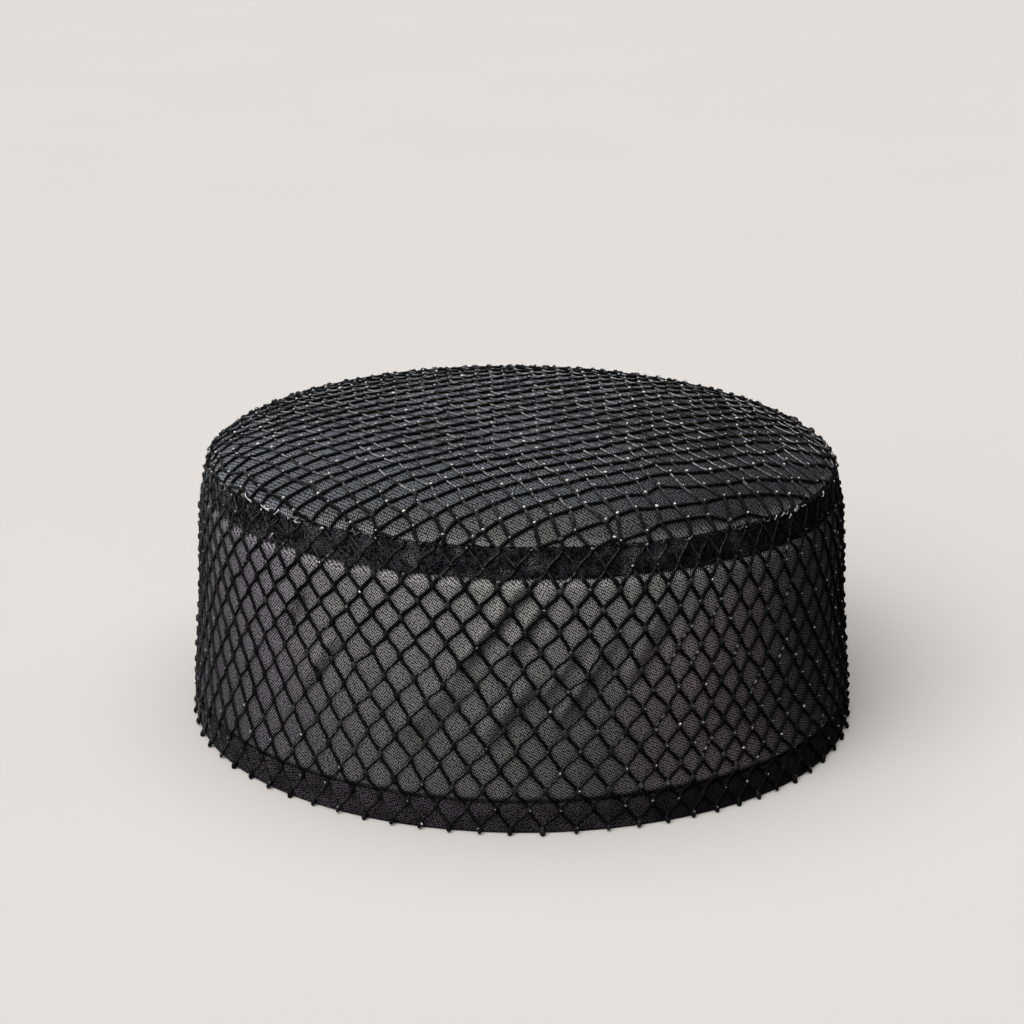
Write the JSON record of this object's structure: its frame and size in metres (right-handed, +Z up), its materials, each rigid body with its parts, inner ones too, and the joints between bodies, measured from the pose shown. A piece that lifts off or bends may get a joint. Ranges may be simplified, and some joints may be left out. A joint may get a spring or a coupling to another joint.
{
  "type": "kufi",
  "caption": "Round brimless cap: a hollow sheer cloth band and low domed crown under a diamond net, worn on the head or stood on its rim.",
  "frame": {"origin": "on the ground plane, under the middle of the rim", "axes": "+Z up, out of the crown; -Y to the front, the side with the folds and the higher seam; +X to the right seen from the front"},
  "size_m": [0.1898, 0.1898, 0.0828],
  "materials": {
    "sheer_cloth": "charcoal grey sheer mesh cloth, fine dot weave, matt",
    "woven_tape": "black ribbed woven tape, matt",
    "hem_binding": "black woven binding, matt",
    "net_cord": "black twisted cord, knotted, slight sheen"
  },
  "bodies": {
    "root": {"side_band": "sheer_cloth", "crown": "sheer_cloth", "seam_tape": "woven_tape", "hem_band": "hem_binding", "side_net": "net_cord", "crown_net": "net_cord"}
  },
  "joints": []
}
